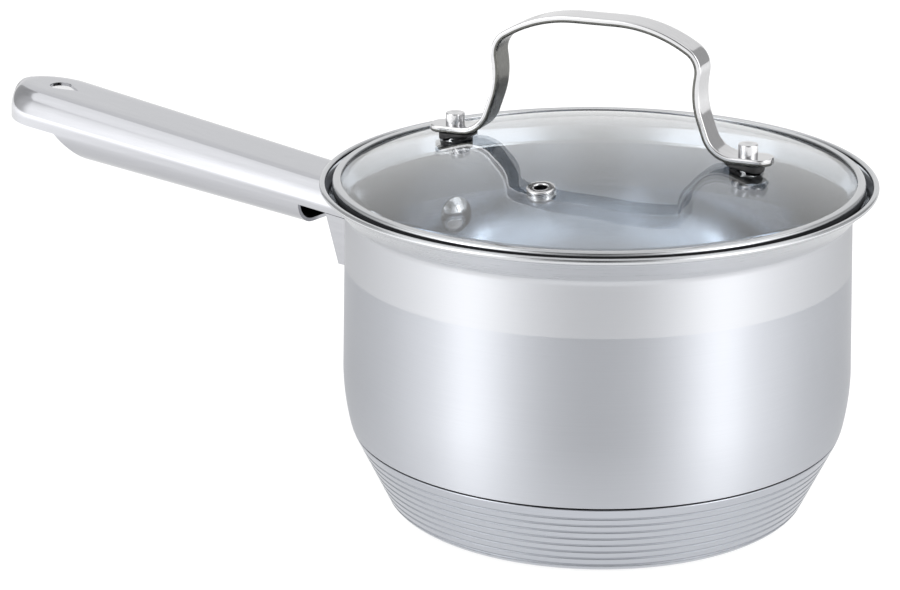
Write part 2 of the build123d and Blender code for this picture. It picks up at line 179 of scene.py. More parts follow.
# Worked out as in the CAD
neck_radius = RIM_RADIUS - FLARE_WIDTH
belly_radius = neck_radius + BELLY_SWELL
corner_centre = (belly_radius - CORNER_RADIUS, FLOOR_HEIGHT + CORNER_RADIUS)
bead_centre = (RIM_RADIUS - BEAD_RADIUS, PAN_HEIGHT - BEAD_RADIUS)
flare_run = bead_centre[0] - neck_radius + WALL / 2 * cos(FLARE)
flare_height = bead_centre[1] - WALL / 2 * sin(FLARE) - flare_run / tan(FLARE)
cap_lean = atan2(BASE_TAPER, SEAM_HEIGHT)
step_radius = corner_centre[0] + sqrt(CORNER_RADIUS**2 - (corner_centre[1] - SEAM_HEIGHT)**2)
seam_radius = step_radius + CAP_FIT + CAP_WALL / cos(cap_lean)
base_radius = seam_radius - BASE_TAPER
cap_top = SEAM_HEIGHT - SEAM_GAP
band_radius = RIM_RADIUS - BAND_INSET
flare_reach = band_radius - neck_radius + WALL * cos(FLARE)
band_low = flare_height + WALL * sin(FLARE) + flare_reach / tan(FLARE) + LID_CLEARANCE / sin(FLARE)
band_high = band_low + GLASS_EDGE + 2 * (BAND_SHEET + GLASS_FIT)
glass_radius = band_radius - BAND_SHEET - GLASS_FIT
edge_low = band_low + BAND_SHEET + GLASS_FIT
edge_high = edge_low + GLASS_EDGE
dome_radius = band_radius - BAND_FOLD - GLASS_FLAT
crown_high = edge_high + DOME_HEIGHT
crown_low = crown_high - GLASS_THICKNESS
sphere_high = (dome_radius**2 + DOME_HEIGHT**2) / (2 * DOME_HEIGHT)
hollow_height = crown_low - edge_low
sphere_low = (dome_radius**2 + hollow_height**2) / (2 * hollow_height)
axis_height = PAN_HEIGHT - HANDLE_DROP
rivet_height = PAN_HEIGHT - RIVET_DROP


def wall_radius(height):
    """Outer radius of the pan's wall above the belly."""
    share = (height - BELLY_HEIGHT) / (flare_height - BELLY_HEIGHT)
    return belly_radius + share * (neck_radius - belly_radius)


def glass_high(radius):
    """Height of the top of the glass at a radius."""
    return crown_high - sphere_high + sqrt(sphere_high**2 - radius**2)


def glass_low(radius):
    """Height of the underside of the glass at a radius."""
    return crown_low - sphere_low + sqrt(sphere_low**2 - radius**2)


saddle_face = wall_radius(axis_height) + SADDLE_FIT + SADDLE_THICKNESS
foot_low = glass_high(SCREW_SPREAD) + PAD_THICKNESS
foot_high = foot_low + STRAP_SIZE[1]
vent_depth = glass_high(VENT_SPREAD) - glass_low(VENT_SPREAD)
lid_matrix = Matrix.Rotation(LID_TURN, 4, "Z")


# Mesh helpers

def add_object(name, data):
    """Object in the scene with a mesh, a lamp or a camera."""
    thing = bpy.data.objects.new(name, data)
    bpy.context.scene.collection.objects.link(thing)
    return thing


def add_piece(name, verts, faces, materials, slots, place=None):
    """Mesh object from millimetre points, smooth but for its sharp edges."""
    mesh = bpy.data.meshes.new(name)
    mesh.from_pydata([Vector(v) * MM for v in verts], [], faces)
    for material in materials:
        mesh.materials.append(material)
    mesh.polygons.foreach_set("material_index", slots)
    if place:
        metres = place.copy()
        metres.translation *= MM
        mesh.transform(metres)
    finish_mesh(mesh)
    return add_object(name, mesh)


def finish_mesh(mesh):
    """Point the faces outward and shade them smooth between sharp edges."""
    work = bmesh.new()
    work.from_mesh(mesh)
    bmesh.ops.recalc_face_normals(work, faces=work.faces)
    work.to_mesh(mesh)
    work.free()
    mesh.shade_smooth()
    mesh.set_sharp_from_angle(angle=SHARP_ANGLE)


def arc(centre, radius, start, end, steps):
    """Points on an arc of radius and height, from one angle to another, in radians."""
    points = []
    for step in range(steps + 1):
        angle = start + (end - start) * step / steps
        points.append((centre[0] + radius * cos(angle), centre[1] + radius * sin(angle)))
    return points


def bend(before, corner, after, radius, steps):
    """Points of a fillet at a corner between two other points."""
    here = Vector(corner)
    back = (Vector(before) - here).normalized()
    ahead = (Vector(after) - here).normalized()
    half = back.angle(ahead) / 2
    reach = radius / tan(half)
    centre = here + (back + ahead).normalized() * radius / sin(half)
    first = here + back * reach - centre
    last = here + ahead * reach - centre
    turn = first.angle_signed(last)
    points = []
    for step in range(steps + 1):
        spoke = first.copy()
        spoke.rotate(Matrix.Rotation(-turn * step / steps, 2))
        points.append(tuple(centre + spoke))
    return points


def line(start, end, steps):
    """Points between two points, without the ends."""
    points = []
    for step in range(1, steps):
        share = step / steps
        points.append(tuple(Vector(start).lerp(Vector(end), share)))
    return points


def rounded(corners):
    """Outline through corners, each given with the radius of its bend."""
    outline = []
    count = len(corners)
    for i, (r, z, radius) in enumerate(corners):
        if radius == 0:
            outline.append((r, z))
            continue
        outline += bend(corners[i - 1][:2], (r, z), corners[(i + 1) % count][:2], radius, ROUND_STEPS)
    return outline


def lathe(name, outline, materials, zones=None, steps=TURN_STEPS, closed=True, place=None):
    """Solid of revolution about Z. A point on the axis is shared by the whole turn."""
    verts = []
    rings = []
    for r, z in outline:
        if r < ON_AXIS:
            rings.append([len(verts)] * steps)
            verts.append((0, 0, z))
            continue
        rings.append(list(range(len(verts), len(verts) + steps)))
        for step in range(steps):
            angle = 2 * pi * step / steps
            verts.append((r * cos(angle), r * sin(angle), z))
    faces = []
    slots = []
    spans = len(outline) if closed else len(outline) - 1
    for span in range(spans):
        low, high = rings[span], rings[(span + 1) % len(outline)]
        if low[0] == low[1] and high[0] == high[1]:
            continue
        zone = zones[span] if zones else 0
        for step in range(steps):
            after = (step + 1) % steps
            corners = [low[step], low[after], high[after], high[step]]
            faces.append(list(dict.fromkeys(corners)))
            slots.append(zone)
    return add_piece(name, verts, faces, materials, slots, place)


def skin(name, rings, materials, zones=None, place=None):
    """Closed skin through rings of as many points each, with a zone for each step round a ring."""
    count = len(rings[0])
    verts = [point for ring in rings for point in ring]
    faces = []
    slots = []
    for level in range(len(rings) - 1):
        low, high = level * count, (level + 1) * count
        for i in range(count):
            after = (i + 1) % count
            faces.append([low + i, low + after, high + after, high + i])
            slots.append(zones[i] if zones else 0)
    faces.append(list(range(count))[::-1])
    faces.append(list(range((len(rings) - 1) * count, len(rings) * count)))
    slots += [0, 0]
    return add_piece(name, verts, faces, materials, slots, place)


def cut(piece, cutters):
    """Take cutters out of a piece for good."""
    for cutter in cutters:
        step = piece.modifiers.new("cut", "BOOLEAN")
        step.operation = "DIFFERENCE"
        step.solver = "EXACT"
        step.object = cutter
    bpy.context.view_layer.update()
    graph = bpy.context.evaluated_depsgraph_get()
    result = bpy.data.meshes.new_from_object(piece.evaluated_get(graph))
    piece.modifiers.clear()
    piece.data = result
    finish_mesh(result)
    for cutter in cutters:
        bpy.data.objects.remove(cutter)


# Material helpers

NOISE_LOW, NOISE_HIGH = 0.3, 0.7        # the part of a noise that colours and gloss are spread over
QUARTER_TURN = 0.25                     # highlights run across the brush marks
MARKS_ROUND = 3.0                       # turned marks: repeats for each radian round the axis
MARK_STRETCH = 20                       # straight marks: length against width
MARK_DETAIL, MARK_ROUGH = 4.0, 0.6
MARK_SHARE = 0.7                        # share of the marks in the gloss, the rest is cloud
MARK_DEPTH = 0.0002
CLOUD_SCALE, CLOUD_DETAIL = 22.0, 3.0
RUBBER_GRAIN = (2500.0, 3.0)            # scale and detail of a noise
RUBBER_CLOUD = (180.0, 2.0)
RUBBER_GLOSS = (0.45, 0.65)
RUBBER_BUMP = (0.15, 0.0001)            # strength and depth
GLASS_WAVE = (26.0, 1.0)
GLASS_BUMP = (0.05, 0.001)
GLASS_TINTS = ((0.92, 0.955, 0.985), (0.935, 0.965, 0.99))
GLASS_INDEX = 1.5


def new_material(name):
    """Material with its node tree and its shader."""
    material = bpy.data.materials.new(name)
    material.use_nodes = True
    tree = material.node_tree
    shader = next(n for n in tree.nodes if n.type == "BSDF_PRINCIPLED")
    return material, tree, shader


def add_math(tree, operation, first, second):
    """Math node with sockets or numbers as inputs."""
    node = tree.nodes.new("ShaderNodeMath")
    node.operation = operation
    for socket, value in zip(node.inputs, (first, second)):
        if isinstance(value, (int, float)):
            socket.default_value = value
        else:
            tree.links.new(value, socket)
    return node.outputs[0]


def add_noise(tree, vector, scale, detail, rough=0.5):
    """Noise texture on a vector."""
    node = tree.nodes.new("ShaderNodeTexNoise")
    node.inputs["Scale"].default_value = scale
    node.inputs["Detail"].default_value = detail
    node.inputs["Roughness"].default_value = rough
    tree.links.new(vector, node.inputs["Vector"])
    return node.outputs["Fac"]


def add_ramp(tree, value, low, high):
    """Colour ramp between two colours over the middle of a noise."""
    node = tree.nodes.new("ShaderNodeValToRGB")
    node.color_ramp.elements[0].position = NOISE_LOW
    node.color_ramp.elements[1].position = NOISE_HIGH
    node.color_ramp.elements[0].color = (*low, 1)
    node.color_ramp.elements[1].color = (*high, 1)
    tree.links.new(value, node.inputs["Fac"])
    return node.outputs["Color"]


def add_range(tree, value, low, high):
    """Map a noise to a range."""
    node = tree.nodes.new("ShaderNodeMapRange")
    node.inputs["From Min"].default_value = NOISE_LOW
    node.inputs["From Max"].default_value = NOISE_HIGH
    node.inputs["To Min"].default_value = low
    node.inputs["To Max"].default_value = high
    tree.links.new(value, node.inputs["Value"])
    return node.outputs["Result"]


def add_bump(tree, shader, height, strength, distance):
    """Bump on the shader's normal."""
    node = tree.nodes.new("ShaderNodeBump")
    node.inputs["Strength"].default_value = strength
    node.inputs["Distance"].default_value = distance
    tree.links.new(height, node.inputs["Height"])
    tree.links.new(node.outputs["Normal"], shader.inputs["Normal"])


def add_squares(tree, first, second):
    """Sum of two squares."""
    return add_math(
        tree, "ADD", add_math(tree, "MULTIPLY", first, first), add_math(tree, "MULTIPLY", second, second))


def turned_axes(tree, angle):
    """Object coordinates as X, Y and Z, turned about Z."""
    coords = tree.nodes.new("ShaderNodeTexCoord")
    turn = tree.nodes.new("ShaderNodeVectorRotate")
    turn.rotation_type = "Z_AXIS"
    turn.inputs["Angle"].default_value = angle
    tree.links.new(coords.outputs["Object"], turn.inputs["Vector"])
    split = tree.nodes.new("ShaderNodeSeparateXYZ")
    tree.links.new(turn.outputs[0], split.inputs[0])
    return split.outputs


def turned_vector(tree, around, along):
    """Vector that runs round the Z axis and up it, for marks left by turning or brushing."""
    coords = tree.nodes.new("ShaderNodeTexCoord")
    split = tree.nodes.new("ShaderNodeSeparateXYZ")
    tree.links.new(coords.outputs["Object"], split.inputs[0])
    x, y, z = split.outputs
    angle = add_math(tree, "ARCTAN2", y, x)
    radius = add_math(tree, "SQRT", add_squares(tree, x, y), 0.0)
    join = tree.nodes.new("ShaderNodeCombineXYZ")
    tree.links.new(add_math(tree, "MULTIPLY", angle, around), join.inputs[0])
    tree.links.new(add_math(tree, "MULTIPLY", z, along), join.inputs[1])
    tree.links.new(add_math(tree, "MULTIPLY", radius, along), join.inputs[2])
    return join.outputs[0]


def plain_vector(tree, stretch=(1, 1, 1)):
    """Object coordinates, stretched along its axes."""
    coords = tree.nodes.new("ShaderNodeTexCoord")
    mapping = tree.nodes.new("ShaderNodeMapping")
    mapping.inputs["Scale"].default_value = stretch
    tree.links.new(coords.outputs["Object"], mapping.inputs["Vector"])
    return mapping.outputs[0]


def steel(name, dark, light, smooth, rough, brush, anisotropy=0.0, turned=True, bump=0.02):
    """Steel with fine marks in its colour, gloss and surface."""
    material, tree, shader = new_material(name)
    if turned:
        vector = turned_vector(tree, MARKS_ROUND, brush)
    else:
        vector = plain_vector(tree, (brush / MARK_STRETCH, brush, brush))
    marks = add_noise(tree, vector, 1.0, MARK_DETAIL, MARK_ROUGH)
    cloud = add_noise(tree, plain_vector(tree), CLOUD_SCALE, CLOUD_DETAIL)
    tree.links.new(add_ramp(tree, marks, dark, light), shader.inputs["Base Color"])
    mark_part = add_math(tree, "MULTIPLY", marks, MARK_SHARE)
    cloud_part = add_math(tree, "MULTIPLY", cloud, 1 - MARK_SHARE)
    blend = add_math(tree, "ADD", mark_part, cloud_part)
    tree.links.new(add_range(tree, blend, smooth, rough), shader.inputs["Roughness"])
    shader.inputs["Metallic"].default_value = 1.0
    shader.inputs["Anisotropic"].default_value = anisotropy
    if anisotropy:
        tangent = tree.nodes.new("ShaderNodeTangent")
        tangent.direction_type = "RADIAL"
        tangent.axis = "Z"
        tree.links.new(tangent.outputs[0], shader.inputs["Tangent"])
        shader.inputs["Anisotropic Rotation"].default_value = QUARTER_TURN
    add_bump(tree, shader, marks, bump, MARK_DEPTH)
    return material


# Each steel: darkest and lightest colour, lowest and highest roughness, and how fine its marks are
satin_steel = steel(
    "satin_steel", (0.51, 0.525, 0.56), (0.54, 0.555, 0.59), 0.44, 0.50, 5000.0, 0.9, bump=0.01,
)
band_steel = steel(
    "polished_band_steel", (0.54, 0.55, 0.575), (0.56, 0.57, 0.595), 0.46, 0.52, 4000.0, 0.72, bump=0.008,
)
rim_steel = steel("rim_steel", (0.48, 0.49, 0.505), (0.52, 0.53, 0.545), 0.15, 0.22, 1500.0)
# Near-black steel: painted shade on the band's side, in the gap above the rim
band_side_painted_shade_steel = steel("band_side_painted_shade_steel", (0.02, 0.02, 0.022), (0.05, 0.05, 0.052), 0.35, 0.5, 1500.0)
flare_steel = steel("flare_steel", (0.56, 0.57, 0.59), (0.60, 0.61, 0.63), 0.26, 0.32, 1500.0)
inside_steel = steel(
    "inside_steel", (0.62, 0.65, 0.695), (0.65, 0.68, 0.725), 0.09, 0.14, 3000.0, bump=0.006,
)
# Rougher satin steel of the floor, its colour lightened as painted light
floor_satin_painted_light_steel = steel(
    "floor_satin_painted_light_steel", (0.74, 0.71, 0.70), (0.78, 0.75, 0.74), 0.36, 0.44, 2500.0, bump=0.01,
)
# Darker, rougher steel in the base's grooves: painted shade in the recesses, and a rougher finish
groove_painted_shade_steel = steel(
    "groove_painted_shade_steel", (0.31, 0.325, 0.355), (0.35, 0.365, 0.395), 0.45, 0.55, 4000.0, bump=0.01,
)
base_steel = steel(
    "base_steel", (0.40, 0.415, 0.45), (0.44, 0.455, 0.49), 0.26, 0.34, 4000.0, 0.6, bump=0.01,
)
handle_steel = steel(
    "handle_steel", (0.485, 0.49, 0.515), (0.51, 0.515, 0.54), 0.11, 0.16, 900.0, turned=False, bump=0.004,
)
# Near-black steel: painted shade on faces hidden under and inside the base cap, and inside the handle's
# root
shaded_steel = steel(
    "shaded_steel", (0.03, 0.03, 0.032), (0.07, 0.07, 0.072), 0.45, 0.7, 300.0, turned=False,
)
# Light steel: painted light on the inside of the handle's open tip
handle_lit = steel(
    "handle_tip_painted_light_steel", (0.84, 0.84, 0.85), (0.88, 0.88, 0.89), 0.25, 0.35, 300.0, turned=False,
)
fastener_steel = steel(
    "fastener_steel", (0.57, 0.57, 0.58), (0.63, 0.63, 0.64), 0.10, 0.18, 1500.0, turned=False,
)
strap_steel = steel(
    "strap_steel", (0.56, 0.56, 0.57), (0.60, 0.60, 0.61), 0.07, 0.13, 900.0, turned=False, bump=0.006,
)
# Dark steel under the strap: a painted dark reflection of the lid below
strap_under_painted_shade = steel(
    "strap_under_steel", (0.10, 0.10, 0.093), (0.15, 0.15, 0.14), 0.16, 0.24, 900.0, turned=False,
)
core_metal = steel("aluminium_core", (0.70, 0.70, 0.70), (0.80, 0.80, 0.80), 0.35, 0.5, 1200.0)


def rubber(name, dark, light):
    """Moulded rubber with a fine matt grain."""
    material, tree, shader = new_material(name)
    grain = add_noise(tree, plain_vector(tree), *RUBBER_GRAIN)
    cloud = add_noise(tree, plain_vector(tree), *RUBBER_CLOUD)
    tree.links.new(add_ramp(tree, cloud, dark, light), shader.inputs["Base Color"])
    tree.links.new(add_range(tree, grain, *RUBBER_GLOSS), shader.inputs["Roughness"])
    add_bump(tree, shader, grain, *RUBBER_BUMP)
    return material


black_rubber = rubber("black_rubber", (0.012, 0.012, 0.013), (0.03, 0.03, 0.031))
clear_rubber = rubber("clear_rubber", (0.60, 0.61, 0.61), (0.70, 0.71, 0.71))


def make_glass_material():
    """Clear tempered glass, slightly blue, with a faint waviness from the rollers."""
    material, tree, shader = new_material("lid_glass")
    wave = add_noise(tree, plain_vector(tree), *GLASS_WAVE)
    tree.links.new(add_ramp(tree, wave, *GLASS_TINTS), shader.inputs["Base Color"])
    shader.inputs["Roughness"].default_value = 0.0
    shader.inputs["IOR"].default_value = GLASS_INDEX
    shader.inputs["Transmission Weight"].default_value = 1.0
    add_bump(tree, shader, wave, *GLASS_BUMP)
    return material


clear_glass = make_glass_material()


# Pan

def make_pan():
    """Drawn pan with a bent-out rim and a rolled edge."""
    along = Vector((sin(FLARE), cos(FLARE)))
    across = Vector((cos(FLARE), -sin(FLARE)))
    inset = sqrt(BEAD_RADIUS**2 - (WALL / 2)**2)
    centre = Vector(bead_centre)
    lip_out = centre - along * inset + across * WALL / 2
    lip_in = centre - along * inset - across * WALL / 2
    lift = asin(WALL / 2 / BEAD_RADIUS)
    start = atan2(-along[1], -along[0]) + lift
    belly_drop = BELLY_HEIGHT - SEAM_HEIGHT
    belly_draw = belly_radius - seam_radius
    belly_arc = (belly_drop**2 + belly_draw**2) / (2 * belly_draw)
    belly_turn = asin(belly_drop / belly_arc)
    neck = (neck_radius, flare_height)
    satin_top = (wall_radius(SATIN_TOP), SATIN_TOP)
    inner_corner = CORNER_RADIUS - WALL
    inner_wall = (corner_centre[0] + inner_corner, corner_centre[1])
    inner_neck = (neck_radius - WALL, flare_height + WALL * tan(FLARE / 2))
    inner_floor = FLOOR_HEIGHT + WALL
    hidden = asin((corner_centre[1] - SEAM_HEIGHT) / CORNER_RADIUS)

    materials = [satin_steel, band_steel, rim_steel, inside_steel, floor_satin_painted_light_steel, shaded_steel, flare_steel]
    satin, polish, rim, inside, floor, shaded, flare = range(len(materials))
    outline = []
    zones = []

    def run(points, zone):
        outline.extend(points)
        zones.extend([zone] * len(points))

    # The pan's bottom, hidden in the base cap, gets painted shade
    run([(0, FLOOR_HEIGHT)], shaded)
    run(arc(corner_centre, CORNER_RADIUS, -pi / 2, -hidden, CURVE_STEPS), shaded)
    corner = (seam_radius, SEAM_HEIGHT)
    run(bend((step_radius, SEAM_HEIGHT), corner, (seam_radius, BELLY_HEIGHT), SEAM_EDGE, EDGE_STEPS), satin)
    # The belly's first two points lie within the rounded edge
    run(arc((belly_radius - belly_arc, BELLY_HEIGHT), belly_arc, -belly_turn, 0, BELLY_STEPS)[2:], satin)
    run(line((belly_radius, BELLY_HEIGHT), satin_top, BEND_STEPS), satin)
    run([satin_top], polish)
    run(line(satin_top, neck, FLAT_STEPS), polish)
    run(bend(satin_top, neck, lip_out, NECK_BEND, BEND_STEPS), polish)
    zones[-1] = flare
    run(arc(bead_centre, BEAD_RADIUS, start, start + 2 * pi - 2 * lift, BEAD_STEPS), rim)
    zones[-1] = inside
    run(bend(lip_in, inner_neck, inner_wall, INNER_BEND, BEND_STEPS), rim)
    run(line(inner_neck, inner_wall, BEND_STEPS)[1:], inside)
    run(arc(corner_centre, inner_corner, 0, -SATIN_TURN, CURVE_STEPS), inside)
    # Lower inside corner and floor: satin steel lightened with painted light
    run(arc(corner_centre, inner_corner, -SATIN_TURN, -pi / 2, CURVE_STEPS), floor)
    run(line((corner_centre[0], inner_floor), (0, inner_floor), FLAT_STEPS), floor)
    run([(0, inner_floor)], satin)
    return lathe("pan_body_turned", outline, materials, zones)


def make_base_cap():
    """Ringed cap of the base."""
    lean = tan(cap_lean)
    top = (base_radius + cap_top * lean, cap_top)
    side = Vector((sin(cap_lean), cos(cap_lean)))
    out = Vector((cos(cap_lean), -sin(cap_lean)))
    stand_off = RING_RADIUS - RING_DEPTH
    half = sqrt(RING_RADIUS**2 - stand_off**2)
    outline = [(0, 0)] + line((0, 0), (base_radius, 0), BEND_STEPS)[:-1]
    outline += bend((0, 0), (base_radius, 0), top, BASE_EDGE, FOOT_STEPS)
    open_angle = acos(stand_off / RING_RADIUS)
    ease = half / 2
    grooved = []
    for ring in reversed(range(RING_COUNT)):
        height = RING_TOP - ring * RING_PITCH
        middle = Vector((base_radius + height * lean, height))
        centre = middle + out * stand_off
        outline.append(tuple(middle - side * (half + ease)))
        grooved += range(len(outline), len(outline) + RING_STEPS)
        for step in range(RING_STEPS + 1):
            angle = -open_angle + 2 * open_angle * step / RING_STEPS
            outline.append(tuple(centre - out * RING_RADIUS * cos(angle) + side * RING_RADIUS * sin(angle)))
        outline.append(tuple(middle + side * (half + ease)))
    slant = CAP_WALL / cos(cap_lean)
    inner_top = (top[0] - slant, cap_top)
    inner_foot = (base_radius - slant + CAP_WALL * lean, CAP_WALL)
    outline += bend((base_radius, 0), top, inner_top, SEAM_EDGE, EDGE_STEPS)
    shown = len(outline) - 1
    outline += bend(top, inner_top, inner_foot, SEAM_EDGE, EDGE_STEPS)
    outline += bend(inner_top, inner_foot, (0, CAP_WALL), BASE_EDGE - CAP_WALL, ROUND_STEPS)
    outline.append((0, CAP_WALL))
    materials = [base_steel, shaded_steel, groove_painted_shade_steel]
    plain, hidden, groove = range(len(materials))
    # The cap's hidden inside gets painted shade
    zones = [plain] * shown + [hidden] * (len(outline) - shown)
    # The grooves get painted shade
    for span in grooved:
        zones[span] = groove
    return lathe("base_cap_ringed", outline, materials, zones)


pan = make_pan()
base = make_base_cap()


# Handle

def handle_point(place, across, rise):
    """Point of the handle, from its distance to the pan's axis and its offsets from the handle's axis."""
    height = axis_height + (place - wall_radius(axis_height)) * tan(HANDLE_TILT)
    return (-place + rise * sin(HANDLE_TILT), across, height + rise * cos(HANDLE_TILT))


def rounded_rectangle(width, height, corner, corner_steps=CURVE_STEPS, flat_steps=FLAT_STEPS):
    """Points round a rounded rectangle, from the middle of its right side."""
    points = []
    half_w, half_h = width / 2 - corner, height / 2 - corner
    corners = [(half_w, half_h, 0), (-half_w, half_h, 1), (-half_w, -half_h, 2), (half_w, -half_h, 3)]
    for x, y, quarter in corners:
        swing = arc((x, y), corner, quarter * pi / 2, (quarter + 1) * pi / 2, corner_steps)
        if points:
            points += line(points[-1], swing[0], flat_steps)
        points += swing
    return points + line(points[-1], points[0], flat_steps)


def handle_rings(inset):
    """Rings of the handle's outline, drawn in by inset, from its root to its nose."""
    nose_start = HANDLE_REACH - NOSE_LENGTH
    root_end = saddle_face + STUB_LENGTH
    reach = NOSE_LENGTH - inset
    rings = []

    def ring(place, grip, wide=1, tall=1):
        width, height, corner = [a + grip * (b - a) for a, b in zip(ROOT_SIZE, GRIP_SIZE)]
        width = wide * (width - 2 * inset)
        height = tall * (height - 2 * inset)
        corner = min(corner - inset, CORNER_ROOM * min(width, height) / 2)
        section = rounded_rectangle(width, height, corner)
        rings.append([handle_point(place, y, z) for y, z in section])

    ring(saddle_face, 0)
    root = []
    for _, y, z in rings[0]:
        face = wall_radius(z) + SADDLE_FIT + SADDLE_THICKNESS + WELD_GAP
        root.append((-sqrt(face**2 - y**2), y, z))
    rings[0] = root
    for step in range(1, ROOT_STEPS + 1):
        ring(saddle_face + (root_end - saddle_face) * step / ROOT_STEPS, 0)
    for step in range(1, GRIP_STEPS + 1):
        ring(root_end + (nose_start - root_end) * step / GRIP_STEPS, step / GRIP_STEPS)
    for step in range(1, NOSE_STEPS + 1):
        angle = NOSE_TURN * step / NOSE_STEPS
        tall = (1 - sin(angle)**NOSE_POWER)**(1 / NOSE_POWER)
        ring(nose_start + reach * sin(angle), 1, cos(angle), tall)
    return rings


def prism(name, outline, low, high, lift):
    """Cutter through an outline, between two offsets along the missing axis."""
    rings = [[lift(point, low) for point in outline], [lift(point, high) for point in outline]]
    return skin(name, rings, [handle_steel])


def make_handle():
    """Hollow handle with its underside cuts and its hanging hole."""
    outer = handle_rings(0)
    inner = handle_rings(HANDLE_SHEET)
    count = len(outer[0])
    verts = [p for ring in outer for p in ring] + [p for ring in inner for p in ring]
    faces = []
    slots = []
    materials = [handle_steel, shaded_steel, handle_lit]
    outside, shaded, lit = range(len(materials))
    shift = len(outer) * count
    for level in range(len(outer) - 1):
        # Inside the tube: painted light near the open tip, painted shade toward the root
        inside = lit if -outer[level][0][0] > HANDLE_REACH - LIT_LENGTH else shaded
        for i in range(count):
            after = (i + 1) % count
            low, high = level * count, (level + 1) * count
            faces.append([low + i, low + after, high + after, high + i])
            faces.append([shift + p for p in (low + after, low + i, high + i, high + after)])
            slots += [outside, inside]
    for i in range(count):
        after = (i + 1) % count
        faces.append([i, shift + i, shift + after, after])
        slots.append(outside)
    last = (len(outer) - 1) * count
    faces.append(list(range(last, last + count)))
    faces.append([shift + p for p in range(last + count - 1, last - 1, -1)])
    slots += [outside, lit]
    handle = add_piece("handle_shell_polished", verts, faces, materials, slots)

    deep = -2 * GRIP_SIZE[1]
    tip_start = HANDLE_REACH - TIP_CUT_START
    tip_end = HANDLE_REACH + NOSE_LENGTH
    root_end = wall_radius(axis_height) + ROOT_CUT_LENGTH
    tip = [
        (tip_start, -GRIP_SIZE[1] / 2),
        (HANDLE_REACH - TIP_CUT_KNEE, -TIP_CUT_RISE),
        (tip_end, -TIP_CUT_RISE),
        (tip_end, deep),
        (tip_start, deep),
    ]
    root = [(0, -ROOT_CUT_RISE), (root_end, -ROOT_CUT_RISE), (root_end, deep), (0, deep)]

    def sideways(point, across):
        height = axis_height + (point[0] - wall_radius(axis_height)) * tan(HANDLE_TILT)
        return (-point[0], across, height + point[1])

    def upward(point, height):
        return (-point[0], point[1], height)

    centre = HANDLE_REACH - HOLE_INSET
    point = centre + HOLE_RADIUS - HOLE_LENGTH
    turn = asin(HOLE_RADIUS / (centre - point))
    hole = [(point, 0)] + arc((centre, 0), HOLE_RADIUS, -pi / 2 - turn, pi / 2 + turn, HOLE_STEPS)
    wide = GRIP_SIZE[0]
    cut(handle, [
        prism("tip_cutter", tip, -wide, wide, sideways),
        prism("root_cutter", root, -wide, wide, sideways),
        prism("hole_cutter", hole, axis_height, PAN_HEIGHT + wide, upward),
    ])
    return handle


handle = make_handle()


def dome(radius, height):
    """Outline of a domed head from its edge to its top, with the flat at height 0."""
    sphere = (radius**2 + height**2) / (2 * height)
    half = asin(radius / sphere)
    return arc((0, height - sphere), sphere, pi / 2 - half, pi / 2, CURVE_STEPS)


def make_rivet(name, side):
    """Rivet with a domed head inside the pan and a low tail outside."""
    inner_radius = wall_radius(rivet_height) - WALL
    head_seat = sqrt(inner_radius**2 - RIVET_HEAD[0]**2) - RIVET_SEAT
    tail_seat = wall_radius(rivet_height) + SADDLE_FIT + SADDLE_THICKNESS + RIVET_SEAT - head_seat
    head = [(r, -z) for r, z in dome(*RIVET_HEAD)]
    tail = [(r, z + tail_seat) for r, z in dome(*RIVET_TAIL)]
    outline = head[::-1] + [(RIVET_SHANK, 0), (RIVET_SHANK, tail_seat)] + tail
    angle = pi + side * asin(RIVET_SPREAD / wall_radius(rivet_height))
    outward = Vector((cos(angle), sin(angle), 0))
    place = Matrix.Translation(outward * head_seat + Vector((0, 0, rivet_height)))
    place @= outward.to_track_quat("Z", "Y").to_matrix().to_4x4()
    return lathe(name, outline, [fastener_steel], steps=SMALL_TURN_STEPS, closed=False, place=place)


rivets = {
    "handle_rivet_front": make_rivet("rivet_front_domed", 1),
    "handle_rivet_rear": make_rivet("rivet_rear_domed", -1),
}


# Lid

def make_glass():
    """Domed glass with holes for the screws and the vent."""
    high_turn = asin(dome_radius / sphere_high)
    low_turn = asin(dome_radius / sphere_low)
    top = arc((0, crown_high - sphere_high), sphere_high, pi / 2, pi / 2 - high_turn, DOME_STEPS)
    bottom = arc((0, crown_low - sphere_low), sphere_low, pi / 2 - low_turn, pi / 2, DOME_STEPS)
    outline = top + [(glass_radius, edge_high), (glass_radius, edge_low)] + bottom
    outline[0] = (0, crown_high)
    outline[-1] = (0, crown_low)
    glass = lathe("lid_glass_domed", outline, [clear_glass], closed=False, place=lid_matrix)

    def drill(name, radius, low, high, place):
        hole = [(0, low), (radius, low), (radius, high), (0, high)]
        return lathe(name, hole, [clear_glass], steps=SMALL_TURN_STEPS, closed=False, place=place)

    cutters = []
    for side in (1, -1):
        place = lid_matrix @ Matrix.Translation((side * SCREW_SPREAD, 0, 0))
        cutters.append(drill("screw_cutter", GLASS_HOLE, edge_low, crown_high, place))
    depth = 2 * GLASS_THICKNESS
    cutters.append(drill("vent_cutter", VENT_HOLE, -depth, depth, vent_matrix()))
    cut(glass, cutters)
    return glass


def vent_matrix():
    """Place of the vent, on the glass and square to it."""
    height = glass_high(VENT_SPREAD)
    normal = Vector((0, -VENT_SPREAD, height - crown_high + sphere_high))
    turn = normal.to_track_quat("Z", "Y").to_matrix().to_4x4()
    return lid_matrix @ Matrix.Translation((0, -VENT_SPREAD, height)) @ turn


